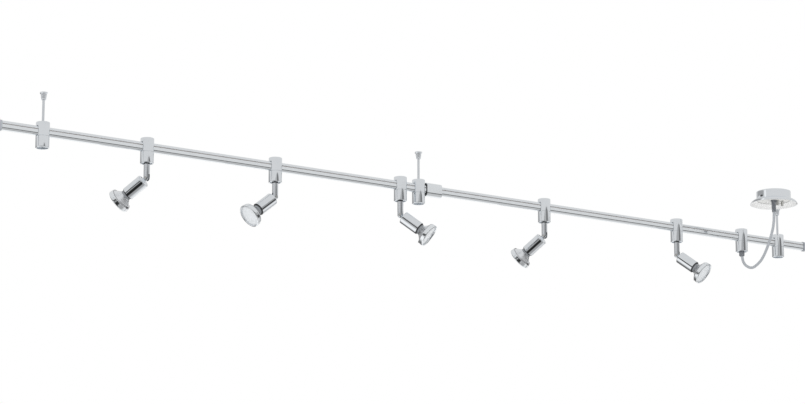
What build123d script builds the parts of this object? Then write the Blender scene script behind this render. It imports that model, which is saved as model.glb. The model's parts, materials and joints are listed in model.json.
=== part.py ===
"""Surface track light: two chrome rails end to end on three ceiling posts, with five sliding spots.

Millimetres. X runs along the rail, Z is up, and the ceiling is the plane z = 0. The origin is the
mouth of the middle post's ceiling hole. The viewer's side, with the ceiling canopy, is -Y.
"""

from build123d import *
import os
from math import pi, radians, tan

os.makedirs("parts", exist_ok=True)

# ---------------------------------------------------------------- driving dimensions
# rail: an upright bar with round top and bottom, a conductor groove in each side
RAIL_LENGTH = 1000.0
RAIL_WIDTH = 10.4
RAIL_HEIGHT = 19.4
RAIL_Z = -78.0  # centre of the rail below the ceiling
RAIL_JOINT_X = 42.0  # where the two rails meet
RAIL_JOINT_GAP = 1.0
GROOVE_Z = 2.7  # centre of the side grooves above the rail's centre
GROOVE_HEIGHT = 3.0
GROOVE_DEPTH = 2.2
DUCT_WIDTH = 7.6  # duct along the rail's lower half
DUCT_HEIGHT = 8.0
DUCT_CORNER = 3.7
DUCT_Z = -4.5  # centre of the duct, from the rail's centre
TOP_DUCT_R = 2.2  # round duct along the rail's upper half
TOP_DUCT_Z = 6.5
CONDUCTOR_SLOT = 1.6  # slot in the insulator strip, where a contact finger runs
CONDUCTOR_THICK = 0.6
STRIP_FLOOR_THICK = 0.6
FIT = 0.05  # clearance on each side of a push fit or a running fit
PAST = 1.0  # how far a cut runs past the face it opens

# end caps
CAP_WALL = 1.2
CAP_OVERLAP = 3.0
CAP_END = 3.0
CAP_EDGE = 1.0
PLUG_LENGTH = 8.0
PLUG_PLAY = 0.15  # clearance of the plug all round in the rail's duct

# joint sleeve, held off the middle of the joint, beside the middle post
CONNECTOR_X = 35.8
CONNECTOR_LENGTH = 37.0
CONNECTOR_WIDTH = 15.4
CONNECTOR_HEIGHT = 29.0
CONNECTOR_WALL = 1.0
CORE_STANDOUT = 0.6  # the core's ends stand out of the sleeve
BRIDGE_HALF = 12.0  # the current blade reaches this far past the joint
BRIDGE_THICK = 0.6

# clamp: the two-piece cylinder round the rail, used by posts, feed and spots
CLAMP_R = 13.5
CLAMP_TOP = 18.0  # above the rail's centre
CLAMP_BOTTOM = -33.0
CLAMP_SEAM = -10.1  # where the cap meets the body, under the rail
CLAMP_SEAM_GAP = 0.4
CLAMP_SLOT_WIDTH = 12.0  # slot over the rail
CLAMP_SLOT_TOP = 9.9
CLAMP_LEG_R = 10.8
CLAMP_LEG_END = -18.0
CLAMP_BORE_R = 11.0
CLAMP_FLOOR = -26.0  # upper face of the body's floor
CLAMP_FLOOR_THICK = 3.5
CLAMP_RECESS_R = 11.2
CLAMP_EDGE = 1.2
BOSS_RING = (6.0, 7.5)  # inner and outer radius of the ring under a post's clamp
SPRING_HALF = 2.5  # half width of a contact leaf
SPRING_THICK = 0.4
SPRING_GAP = 0.25  # from the rail's side to the leaf
SPRING_FOOT_Z = -17.0  # from the rail's centre
SPRING_FOOT_Y = 2.0
CONTACT_GAP = 0.2  # from the leaf's finger to the conductor
FINGER_HALF = 0.6

# ceiling posts
POST_X = (-867.0, 0.0, 968.0)
ROD_R = 2.5
CONE_TOP_R = 7.6
CONE_NECK_R = 4.7
CONE_HEIGHT = 15.0
CONE_COLLAR = 3.0
CONE_FLANGE = 2.2
CEILING_HOLE_R = 2.0  # M4 hanger bolt
CEILING_HOLE_DEPTH = 7.0
ROD_ENGAGE = 6.0  # rod end in the cone and in the clamp cap

# spots
SPOT_X = (-639.0, -346.0, -45.0, 321.5, 679.5)
SPOT_HEADING = (123.0, 180.0, -42.0, 117.5, -56.0)  # degrees about Z, from +X
SPOT_TILT = (33.5, 38.5, 37.5, 35.5, 37.5)  # degrees below the horizontal
HINGE_Z = -140.5  # tilt axis, on the stem's own axis
STEM_R = 6.1
STEM_BORE_R = 4.2
STEM_COLLAR_R = 8.0
STEM_COLLAR = (0.2, 3.2)  # under and upper face of the collar above the clamp's floor
STEM_TOP = 4.2  # above the clamp's floor
FORK_GAP = 4.6
FORK_DEPTH = 7.5  # slot above the tilt axis
PIN_R = 1.5
PIN_HEAD_R = 2.4
PIN_HEAD = 1.0
PIN_SEAT_R = 2.6  # flat seat of each pin head in the fork's cheek
PIN_SEAT_Y = 5.0
TONGUE_THICK = 4.0
TONGUE_R = 4.2
HOLDER_R = 13.2
HOLDER_WALL = 1.2
HOLDER_BACK = 8.0  # from the tilt axis to the holder's back face
HOLDER_LENGTH = 41.0
HOLDER_END = 2.0  # thickness of the holder's back
HOLDER_EDGE = 1.6
VENT_R = 1.8  # wire hole in the holder's back
VENT_X = 8.0
SOCKET_RING_R = 13.0
SOCKET_RING = 1.8
SOCKET_RING_EDGE = 1.0  # chamfer round its front
SOCKET_BORE_R = 11.3
SOCKET_PUCK = 15.0
SOCKET_BACK = 4.0  # from the holder's back face to the puck
PIN_HOLE_R = 2.6
PIN_HOLE = 8.0
LAMP_R = 25.0  # GU10 reflector lamp, 50 mm
LAMP_FACE = 77.0  # from the tilt axis to the lamp's front
LAMP_EDGE = 1.0  # corner between the front and the rim
LAMP_RIM_BACK_R = 24.2
LAMP_BASE_R = 10.4
LAMP_BELL = ((22.8, 10.0), (19.2, 13.5), (15.8, 16.3), (LAMP_BASE_R, 22.0))  # radius, depth from the front
LAMP_PIN_PITCH = 10.0
LAMP_PIN_R = 1.5
LAMP_PIN_HEAD_R = 2.35
LAMP_SEAT_GAP = 0.4  # from the lamp's base to the puck

# feed, canopy and cord
FEED_X = 863.0
FEED_GLAND_R = 6.0
FEED_GLAND_END = -121.5
FEED_FLANGE_R = 7.5
FEED_FLANGE = 3.0
CANOPY_X = 854.0
CANOPY_Y = -125.0
CANOPY_R = 37.8
CANOPY_BRIM_R = 52.0
CANOPY_DEPTH = 27.5
CANOPY_SHEET = 1.0
CANOPY_TOP_GAP = 0.3  # the crown's edge stops short of the ceiling
CANOPY_BULGE = (2.6, -2.7)  # middle of the flare, from the middle of the brim's width and the plate
BASE_R = 36.6
BASE_WALL = 2.0
BASE_DEPTH = 18.6
BASE_FLOOR = 2.2
BOSS_Y = 26.0  # screw bosses either side of the canopy's centre
BOSS_R = 4.5
BOSS_HOLE_R = 2.25
CABLE_HOLE_R = 4.5
CANOPY_GLAND_END = -45.0
GLAND_COLLAR_R = 6.4  # nut under the plate
GLAND_COLLAR = 3.0
TERMINAL_SCREWS_X = (10.0, 22.5)  # from the canopy's centre
TERMINAL_Y = -2.0
TERMINAL_PITCH = 6.6
TERMINAL_HALF = (10.0, 8.0)  # half length and half width of the block
TERMINAL_HEIGHT = 10.0
WIRE_HOLE_R = 1.3
WIRE_HOLE_Z = 4.0  # above the cup's floor
WIRE_SCREW_R = 1.6
WIRE_SCREW_Y = 4.5
WIRE_SCREW_DEPTH = 4.0
SCREW_R = 1.5
SCREW_REACH = 2.2  # of the screw's tip into the block
SCREW_HEAD_R = 3.3
SCREW_HEAD_END = -28.6
SCREW_SLOT = 1.0  # depth of the driver slot
SCREW_SLOT_HALF = 0.5
CORD_R = 3.0
CORD_HOLE_R = CORD_R + FIT  # in both glands
CORNER_SHARE = 0.45  # of the shorter run beside a corner, that its arc takes
CORD_ROUTE = [
    (854.0, -125.0, -39.0),
    (854.0, -125.0, -57.5),
    (854.2, -121.6, -76.5),
    (855.0, -111.5, -97.0),
    (856.1, -96.1, -121.0),
    (857.4, -77.1, -141.2),
    (858.6, -61.2, -149.5),
    (860.3, -37.2, -156.5),
    (862.4, -8.8, -142.8),
    (863.0, 0.0, -124.0),
    (863.0, 0.0, -112.0),
]

written = []


def save(name, *solids):
    """Write one node's solids to its own STEP file."""
    shape = solids[0] if len(solids) == 1 else Compound(children=list(solids))
    export_step(shape, f"parts/{name}.step")
    written.append(name)


def rod(radius, low, high, x=0.0, y=0.0):
    """Upright cylinder between two heights."""
    return Pos(x, y, (low + high) / 2) * Cylinder(radius, high - low)


def block(x0, x1, y0, y1, z0, z1):
    """Box between two corners."""
    centre = Pos((x0 + x1) / 2, (y0 + y1) / 2, (z0 + z1) / 2)
    return centre * Box(x1 - x0, y1 - y0, z1 - z0)


def stadium_bar(width, height, x0, x1):
    """Upright bar with round top and bottom, along X, centred on the rail's centre line."""
    section = Plane.YZ * SlotCenterToCenter(height - width, width, rotation=90)
    return Pos(x0, 0, RAIL_Z) * extrude(section, x1 - x0)


def turned(points):
    """Solid turned about Z from a closed outline of (radius, height) points."""
    outline = Plane.XZ * make_face(Polyline(*points, close=True))
    return revolve(outline, Axis.Z)


def edges_at(shape, height, radius):
    """The circular edges of a turned shape at one height and radius."""
    rings = shape.edges().filter_by(GeomType.CIRCLE)
    return [
        edge
        for edge in rings
        if abs(edge.center().Z - height) < 0.01 and abs(edge.radius - radius) < 0.01
    ]


# ---------------------------------------------------------------- rail
def duct_bar(length, play):
    """Bar along X with the section of the rail's lower duct, smaller all round by the play."""
    section = RectangleRounded(DUCT_WIDTH - 2 * play, DUCT_HEIGHT - 2 * play, DUCT_CORNER - play)
    return extrude(Plane.YZ * section, length)


def rail(x0, x1):
    bar = stadium_bar(RAIL_WIDTH, RAIL_HEIGHT, x0, x1)
    middle = (x0 + x1) / 2
    length = x1 - x0
    bar -= Pos(x0, 0, RAIL_Z + DUCT_Z) * duct_bar(length, 0)
    upper_duct = Plane.YZ * Circle(TOP_DUCT_R)
    bar -= Pos(x0, 0, RAIL_Z + TOP_DUCT_Z) * extrude(upper_duct, length)
    for side in (-1, 1):
        centre_y = side * (RAIL_WIDTH - GROOVE_DEPTH + PAST) / 2
        groove = Box(length + 2 * PAST, GROOVE_DEPTH + PAST, GROOVE_HEIGHT)
        bar -= Pos(middle, centre_y, RAIL_Z + GROOVE_Z) * groove
    return bar


def groove_strip(x0, x1, side, near, far, height):
    """Strip along a side groove, between two distances from the rail's middle plane."""
    low, high = sorted((side * near, side * far))
    z = RAIL_Z + GROOVE_Z
    return block(x0, x1, low, high, z - height / 2, z + height / 2)


STRIP_FLOOR = RAIL_WIDTH / 2 - GROOVE_DEPTH  # bottom of the groove
STRIP_FACE = RAIL_WIDTH / 2 - 0.1
CONDUCTOR_FLOOR = STRIP_FLOOR + STRIP_FLOOR_THICK
CONDUCTOR_FACE = CONDUCTOR_FLOOR + CONDUCTOR_THICK


def insulator_strip(x0, x1, side):
    strip = groove_strip(x0, x1, side, STRIP_FLOOR, STRIP_FACE, GROOVE_HEIGHT)
    slot = groove_strip(x0, x1, side, CONDUCTOR_FLOOR, STRIP_FACE + PAST, CONDUCTOR_SLOT)
    return strip - slot


def conductor_strip(x0, x1, side):
    return groove_strip(x0, x1, side, CONDUCTOR_FLOOR, CONDUCTOR_FACE, CONDUCTOR_SLOT)


def bridge_clip(side):
    """Blade in the slot that carries the current over the rail joint."""
    x0, x1 = RAIL_JOINT_X - BRIDGE_HALF, RAIL_JOINT_X + BRIDGE_HALF
    face = CONDUCTOR_FACE + BRIDGE_THICK
    return groove_strip(x0, x1, side, CONDUCTOR_FACE, face, CONDUCTOR_SLOT - 4 * FIT)


def rail_pocket(x0, x1):
    """The rail's outline with a push fit round it, to cut a pocket for a rail end."""
    return stadium_bar(RAIL_WIDTH + 2 * FIT, RAIL_HEIGHT + 2 * FIT, x0, x1)


def end_cap(x_end, outward):
    """Cup over a rail end, with a plug into the rail's lower duct."""
    inner = x_end - outward * CAP_OVERLAP
    x0, x1 = sorted((inner, x_end + outward * CAP_END))
    cup = stadium_bar(RAIL_WIDTH + 2 * CAP_WALL, RAIL_HEIGHT + 2 * CAP_WALL, x0, x1)
    rim = cup.faces().sort_by(Axis.X)[-1 if outward > 0 else 0]
    cup = fillet(rim.edges(), CAP_EDGE)
    cup -= rail_pocket(*sorted((inner - outward * PAST, x_end)))
    plug_x = min(x_end, x_end - outward * PLUG_LENGTH)
    return cup + Pos(plug_x, 0, RAIL_Z + DUCT_Z) * duct_bar(PLUG_LENGTH, PLUG_PLAY)


def connector_sleeve():
    half = CONNECTOR_LENGTH / 2
    x0, x1 = CONNECTOR_X - half, CONNECTOR_X + half
    bore_width = CONNECTOR_WIDTH - 2 * CONNECTOR_WALL
    bore_height = CONNECTOR_HEIGHT - 2 * CONNECTOR_WALL
    outside = stadium_bar(CONNECTOR_WIDTH, CONNECTOR_HEIGHT, x0, x1)
    return outside - stadium_bar(bore_width, bore_height, x0 - PAST, x1 + PAST)


def connector_core():
    """Insulating sleeve with a pocket for each rail end and a web between them."""
    half = CONNECTOR_LENGTH / 2 + CORE_STANDOUT
    x0, x1 = CONNECTOR_X - half, CONNECTOR_X + half
    width = CONNECTOR_WIDTH - 2 * CONNECTOR_WALL - 2 * FIT
    height = CONNECTOR_HEIGHT - 2 * CONNECTOR_WALL - 2 * FIT
    core = stadium_bar(width, height, x0, x1)
    web = RAIL_JOINT_GAP / 2 - FIT
    core -= rail_pocket(x0 - PAST, RAIL_JOINT_X - web)
    core -= rail_pocket(RAIL_JOINT_X + web, x1 + PAST)
    w0, w1 = RAIL_JOINT_X - RAIL_JOINT_GAP, RAIL_JOINT_X + RAIL_JOINT_GAP
    for side in (-1, 1):
        core -= groove_strip(w0, w1, side, CONDUCTOR_FLOOR, STRIP_FACE, CONDUCTOR_SLOT)
    return core


# ---------------------------------------------------------------- clamps
def clamp_cap(rod_hole=False):
    """Upper half: a solid cylinder with a slot over the rail and two threaded legs below it."""
    top, seam = RAIL_Z + CLAMP_TOP, RAIL_Z + CLAMP_SEAM + CLAMP_SEAM_GAP / 2
    cap = rod(CLAMP_R, seam, top)
    cap = fillet(edges_at(cap, top, CLAMP_R), CLAMP_EDGE)
    cap += rod(CLAMP_LEG_R, RAIL_Z + CLAMP_LEG_END, seam)
    half, reach = CLAMP_SLOT_WIDTH / 2, CLAMP_R + PAST
    slot_end = RAIL_Z + CLAMP_LEG_END - PAST
    cap -= block(-reach, reach, -half, half, slot_end, RAIL_Z + CLAMP_SLOT_TOP)
    if rod_hole:
        cap -= rod(ROD_R, top - ROD_ENGAGE, top + PAST)
    return cap


def clamp_body(hole_r=0.0):
    """Lower half: a cup screwed up on the cap's legs, with a sunk floor."""
    top, bottom = RAIL_Z + CLAMP_SEAM - CLAMP_SEAM_GAP / 2, RAIL_Z + CLAMP_BOTTOM
    floor = RAIL_Z + CLAMP_FLOOR
    under = floor - CLAMP_FLOOR_THICK
    body = rod(CLAMP_R, bottom, top)
    body = fillet(edges_at(body, bottom, CLAMP_R), CLAMP_EDGE)
    body -= rod(CLAMP_BORE_R, floor, top + PAST)
    body -= rod(CLAMP_RECESS_R, bottom - PAST, under)
    if hole_r:
        return body - rod(hole_r, bottom - PAST, floor + PAST)
    inner, outer = BOSS_RING
    ring = rod(outer, under - PAST, under + PAST) - rod(inner, under - PAST, under + PAST)
    return body + ring


def contact_spring(side):
    """Leaf beside the rail: a foot in the body, a blade, and a finger into the rail's slot."""
    inner = RAIL_WIDTH / 2 + SPRING_GAP
    outer = inner + SPRING_THICK
    foot_z, finger_z = RAIL_Z + SPRING_FOOT_Z, RAIL_Z + GROOVE_Z
    half = SPRING_HALF
    low, high = sorted((side * inner, side * outer))
    blade = block(-half, half, low, high, foot_z, finger_z + FINGER_HALF)
    low, high = sorted((side * SPRING_FOOT_Y, side * outer))
    foot = block(-half, half, low, high, foot_z, foot_z + SPRING_THICK)
    low, high = sorted((side * (CONDUCTOR_FACE + CONTACT_GAP), side * outer))
    finger = block(-half, half, low, high, finger_z - FINGER_HALF, finger_z + FINGER_HALF)
    return blade + foot + finger


# ---------------------------------------------------------------- posts
def ceiling_cone():
    """Flared foot on the ceiling, with a hanger bolt hole above and the rod's hole below."""
    cone = turned(
        [
            (0, 0),
            (CONE_TOP_R, 0),
            (CONE_TOP_R, -CONE_FLANGE),
            (CONE_TOP_R - 1.6, -CONE_FLANGE - 1.0),
            (CONE_NECK_R + 0.4, -CONE_HEIGHT + CONE_COLLAR),
            (CONE_NECK_R, -CONE_HEIGHT + CONE_COLLAR),
            (CONE_NECK_R, -CONE_HEIGHT),
            (0, -CONE_HEIGHT),
        ]
    )
    cone -= rod(CEILING_HOLE_R, -CEILING_HOLE_DEPTH, PAST)
    return cone - rod(ROD_R, -CONE_HEIGHT - PAST, -CONE_HEIGHT + ROD_ENGAGE)


def post_rod():
    return rod(ROD_R, RAIL_Z + CLAMP_TOP - ROD_ENGAGE, -CONE_HEIGHT + ROD_ENGAGE)


# ---------------------------------------------------------------- spots
def across(radius, near, far, z=HINGE_Z):
    """Cylinder along Y between two distances from the stem's axis."""
    return Pos(0, (near + far) / 2, z) * Rot(90, 0, 0) * Cylinder(radius, far - near)


def stem():
    """Tube that swivels in the clamp's floor, with a fork at its lower end."""
    floor = RAIL_Z + CLAMP_FLOOR
    tube = rod(STEM_R, HINGE_Z, floor + STEM_TOP)
    tube += rod(STEM_COLLAR_R, floor + STEM_COLLAR[0], floor + STEM_COLLAR[1])
    tube += Pos(0, 0, HINGE_Z) * Sphere(STEM_R)
    tube -= rod(STEM_BORE_R, HINGE_Z + FORK_DEPTH, floor + STEM_TOP + PAST)
    half, reach = FORK_GAP / 2, STEM_R + PAST
    tube -= block(-reach, reach, -half, half, HINGE_Z - reach, HINGE_Z + FORK_DEPTH)
    tube -= across(PIN_R, -reach, reach)
    for side in (-1, 1):
        tube -= across(PIN_SEAT_R, *sorted((side * PIN_SEAT_Y, side * reach)))
    return tube


def knuckle_pin():
    """Rivet through the fork, with a flat head at each end."""
    end = PIN_SEAT_Y + PIN_HEAD
    pin = across(PIN_R, -end, end)
    for side in (-1, 1):
        pin += across(PIN_HEAD_R, *sorted((side * PIN_SEAT_Y, side * end)))
    return pin


def holder():
    """Chrome can with a tongue on its back, drawn with the tilt axis at 0 and the lamp down -Z."""
    back, front = -HOLDER_BACK, -HOLDER_BACK - HOLDER_LENGTH
    can = rod(HOLDER_R, front, back)
    can = fillet(edges_at(can, back, HOLDER_R), HOLDER_EDGE)
    can -= rod(HOLDER_R - HOLDER_WALL, front - PAST, back - HOLDER_END)
    half = TONGUE_THICK / 2
    can += block(-TONGUE_R, TONGUE_R, -half, half, back - PAST, 0)
    can += across(TONGUE_R, -half, half, z=0)
    can -= across(PIN_R + FIT, -half - PAST, half + PAST, z=0)
    return can - rod(VENT_R, back - HOLDER_END - PAST, back + PAST, x=VENT_X)


def socket():
    """GU10 lampholder: a puck with two pin holes, a thin liner and a black front ring."""
    front = -HOLDER_BACK - HOLDER_LENGTH
    top = -HOLDER_BACK - SOCKET_BACK
    outer = HOLDER_R - HOLDER_WALL - 2 * FIT
    body = rod(outer, front - SOCKET_RING / 2, top)
    ring = rod(SOCKET_RING_R, front - SOCKET_RING, front)
    body += chamfer(edges_at(ring, front - SOCKET_RING, SOCKET_RING_R), SOCKET_RING_EDGE)
    puck_face = top - SOCKET_PUCK
    body -= rod(SOCKET_BORE_R, front - SOCKET_RING - PAST, puck_face)
    for side in (-1, 1):
        y = side * LAMP_PIN_PITCH / 2
        body -= rod(PIN_HOLE_R, puck_face - PAST, puck_face + PIN_HOLE, y=y)
    return body


def lamp():
    """Sealed 50 mm reflector lamp with its two bayonet pins."""
    face, base = -LAMP_FACE, -HOLDER_BACK - SOCKET_BACK - SOCKET_PUCK - LAMP_SEAT_GAP
    bell = [(radius, face + depth) for radius, depth in LAMP_BELL]
    shoulder, throat = bell[0], bell[-1]
    outline = Polyline(
        throat,
        (LAMP_BASE_R, base),
        (0, base),
        (0, face),
        (LAMP_R - LAMP_EDGE, face),
        (LAMP_R, face + LAMP_EDGE),
        (LAMP_RIM_BACK_R, shoulder[1]),
        shoulder,
    )
    glass = revolve(Plane.XZ * make_face([Spline(*bell), outline]), Axis.Z)
    for side in (-1, 1):
        y = side * LAMP_PIN_PITCH / 2
        glass += rod(LAMP_PIN_R, base - PAST, base + 5.0, y=y)
        glass += rod(LAMP_PIN_HEAD_R, base + 4.6, base + 7.0, y=y)
    return glass


# ---------------------------------------------------------------- feed, canopy and cord
def feed_gland():
    """Cord gland through the feed body's floor."""
    under = RAIL_Z + CLAMP_FLOOR - CLAMP_FLOOR_THICK
    above = RAIL_Z + CLAMP_FLOOR
    gland = turned(
        [
            (0, above + FEED_FLANGE),
            (FEED_FLANGE_R, above + FEED_FLANGE),
            (FEED_FLANGE_R, above),
            (FEED_GLAND_R - 1.0, above),
            (FEED_GLAND_R - 1.0, under),
            (FEED_GLAND_R, under),
            (FEED_GLAND_R, FEED_GLAND_END + 2.0),
            (FEED_GLAND_R - 1.8, FEED_GLAND_END),
            (0, FEED_GLAND_END),
        ]
    )
    return gland - rod(CORD_HOLE_R, FEED_GLAND_END - PAST, CORD_ROUTE[-1][2])


FLOOR_TOP = -BASE_DEPTH + BASE_FLOOR  # upper face of the terminal cup's floor


def canopy_base():
    """Terminal cup, open to the ceiling, with two bosses for the ceiling screws."""
    below = -BASE_DEPTH - PAST
    base = rod(BASE_R, -BASE_DEPTH, 0) - rod(BASE_R - BASE_WALL, FLOOR_TOP, PAST)
    for side in (-1, 1):
        base += rod(BOSS_R, FLOOR_TOP - BASE_FLOOR / 2, 0, y=side * BOSS_Y)
    for side in (-1, 1):
        base -= rod(BOSS_HOLE_R, below, PAST, y=side * BOSS_Y)
    base -= rod(CABLE_HOLE_R, below, 0)
    for x in TERMINAL_SCREWS_X:
        base -= rod(SCREW_R + 6 * FIT, below, FLOOR_TOP + PAST, x=x, y=TERMINAL_Y)
    return Pos(CANOPY_X, CANOPY_Y, 0) * base


def canopy_cover():
    """Spun sheet: an upright crown that flares out to a drooping brim."""
    r, t, plate = CANOPY_R, CANOPY_SHEET, -BASE_DEPTH
    brim, low = CANOPY_BRIM_R, -CANOPY_DEPTH
    shoulder, nose = (r + 1.0, plate + 0.4), (r + 0.6, plate - 0.6)
    x, z = (brim + r) / 2 + CANOPY_BULGE[0], plate + CANOPY_BULGE[1]
    outer_flare = ThreePointArc(shoulder, (x, z), (brim, low))
    inner_flare = ThreePointArc((brim - t, low), (x - 0.8 * t, z - 0.8 * t), nose)
    outside = Polyline((r - t, -CANOPY_TOP_GAP), (r, -CANOPY_TOP_GAP), (r, plate + 1.2), shoulder)
    rim = Line((brim, low), (brim - t, low))
    inside = Polyline(nose, (r - t, plate + 0.2), (r - t, -CANOPY_TOP_GAP))
    sheet = make_face([outside, outer_flare, rim, inner_flare, inside])
    return Pos(CANOPY_X, CANOPY_Y, 0) * revolve(Plane.XZ * sheet, Axis.Z)


def canopy_gland():
    """Tapered cord relief with a nut under the canopy's plate and a flange above it."""
    end = CANOPY_GLAND_END
    gland = turned(
        [
            (0, FLOOR_TOP + 2.0),
            (GLAND_COLLAR_R - 0.6, FLOOR_TOP + 2.0),
            (GLAND_COLLAR_R - 0.6, FLOOR_TOP),
            (CABLE_HOLE_R - 2 * FIT, FLOOR_TOP),
            (CABLE_HOLE_R - 2 * FIT, -BASE_DEPTH),
            (GLAND_COLLAR_R, -BASE_DEPTH),
            (GLAND_COLLAR_R, -BASE_DEPTH - GLAND_COLLAR),
            (5.2, -BASE_DEPTH - GLAND_COLLAR),
            (4.6, end + 5.0),
            (4.0, end + 4.4),
            (4.0, end + 3.6),
            (4.6, end + 3.0),
            (3.9, end),
            (0, end),
        ]
    )
    gland -= rod(CORD_HOLE_R, end - PAST, CORD_ROUTE[0][2])
    return Pos(CANOPY_X, CANOPY_Y, 0) * gland


def terminal_block():
    """Three-way block for the mains wires, on the cup's floor."""
    middle = sum(TERMINAL_SCREWS_X) / 2
    half_x, half_y = TERMINAL_HALF
    top = FLOOR_TOP + TERMINAL_HEIGHT
    y0, y1 = TERMINAL_Y - half_y, TERMINAL_Y + half_y
    bar = block(middle - half_x, middle + half_x, y0, y1, FLOOR_TOP, top)
    for column in (-1, 0, 1):
        x = middle + column * TERMINAL_PITCH
        for side in (-1, 1):
            y = TERMINAL_Y + side * WIRE_SCREW_Y
            bar -= rod(WIRE_SCREW_R, top - WIRE_SCREW_DEPTH, top + PAST, x=x, y=y)
        tunnel = across(WIRE_HOLE_R, y0 - PAST, y1 + PAST, z=FLOOR_TOP + WIRE_HOLE_Z)
        bar -= Pos(x, 0, 0) * tunnel
    for x in TERMINAL_SCREWS_X:
        bar -= rod(SCREW_R, FLOOR_TOP - PAST, FLOOR_TOP + SCREW_REACH + 4 * FIT, x=x, y=TERMINAL_Y)
    return Pos(CANOPY_X, CANOPY_Y, 0) * bar


def terminal_screw(x):
    """Tall-headed screw from below, through the cup's floor into the block."""
    screw = rod(SCREW_R, -BASE_DEPTH - PAST, FLOOR_TOP + SCREW_REACH)
    screw += rod(SCREW_HEAD_R, SCREW_HEAD_END, -BASE_DEPTH)
    reach, half = SCREW_HEAD_R + PAST, SCREW_SLOT_HALF
    screw -= block(-reach, reach, -half, half, SCREW_HEAD_END - PAST, SCREW_HEAD_END + SCREW_SLOT)
    return Pos(CANOPY_X + x, CANOPY_Y + TERMINAL_Y, 0) * screw


def bend_radii(route):
    """The largest arc that both runs beside each corner allow."""
    radii = []
    for before, corner, after in zip(route, route[1:], route[2:]):
        run_in, run_out = Vector(*corner) - Vector(*before), Vector(*after) - Vector(*corner)
        half_turn = radians(run_in.get_angle(run_out)) / 2
        radii.append(CORNER_SHARE * min(run_in.length, run_out.length) / tan(half_turn))
    return radii


def supply_cord():
    radii = bend_radii(CORD_ROUTE)
    path = FilletPolyline(*CORD_ROUTE, radius=radii)
    start = Plane(path @ 0, z_dir=path % 0)
    tube = sweep(start * Circle(CORD_R), path=path)
    expected = pi * CORD_R**2 * path.length
    print("cord radii", [round(r, 1) for r in radii])
    print("cord length", round(path.length, 1), "volume ratio", round(tube.volume / expected, 4))
    return tube


# ---------------------------------------------------------------- assembly
left_end = RAIL_JOINT_X - RAIL_JOINT_GAP / 2 - RAIL_LENGTH
right_end = RAIL_JOINT_X + RAIL_JOINT_GAP / 2 + RAIL_LENGTH
spans = ((left_end, left_end + RAIL_LENGTH), (right_end - RAIL_LENGTH, right_end))

save("rail_left", rail(*spans[0]))
save("rail_right", rail(*spans[1]))
save("insulator_strips", *[insulator_strip(*span, side) for span in spans for side in (-1, 1)])
conductors = [conductor_strip(*span, side) for span in spans for side in (-1, 1)]
bridges = [bridge_clip(side) for side in (-1, 1)]
feed_springs = [Pos(FEED_X, 0, 0) * contact_spring(side) for side in (-1, 1)]
save("conductors", *conductors, *bridges, *feed_springs)
save("end_caps", end_cap(left_end, -1), end_cap(right_end, 1))
save("connector_sleeve", connector_sleeve())
save("connector_core", connector_core())

save("ceiling_cones", *[Pos(x, 0, 0) * ceiling_cone() for x in POST_X])
save("post_rods", *[Pos(x, 0, 0) * post_rod() for x in POST_X])
save("post_caps", *[Pos(x, 0, 0) * clamp_cap(rod_hole=True) for x in POST_X])
save("post_bodies", *[Pos(x, 0, 0) * clamp_body() for x in POST_X])

save("feed_cap", Pos(FEED_X, 0, 0) * clamp_cap())
save("feed_body", Pos(FEED_X, 0, 0) * clamp_body(hole_r=FEED_GLAND_R - 1.0))
save("feed_gland", Pos(FEED_X, 0, 0) * feed_gland())
save("supply_cord", supply_cord())
save("canopy_base", canopy_base())
save("canopy_cover", canopy_cover())
save("canopy_gland", canopy_gland())
save("terminal_block", terminal_block())
save("terminal_screws", *[terminal_screw(x) for x in TERMINAL_SCREWS_X])

for number, (x, heading, tilt) in enumerate(zip(SPOT_X, SPOT_HEADING, SPOT_TILT), start=1):
    at_rail = Pos(x, 0, 0)
    turned_stem = at_rail * Rot(0, 0, heading)
    tilted_head = Pos(x, 0, HINGE_Z) * Rot(0, 0, heading) * Rot(0, -(90 - tilt), 0)
    save(f"adapter_cap_{number}", at_rail * clamp_cap())
    save(f"adapter_body_{number}", at_rail * clamp_body(hole_r=STEM_R + FIT))
    save(f"contacts_{number}", *[at_rail * contact_spring(side) for side in (-1, 1)])
    save(f"stem_{number}", turned_stem * stem())
    save(f"knuckle_pin_{number}", turned_stem * knuckle_pin())
    save(f"holder_{number}", tilted_head * holder())
    save(f"socket_{number}", tilted_head * socket())
    save(f"lamp_{number}", tilted_head * lamp())

print(len(written), "nodes")
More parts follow.
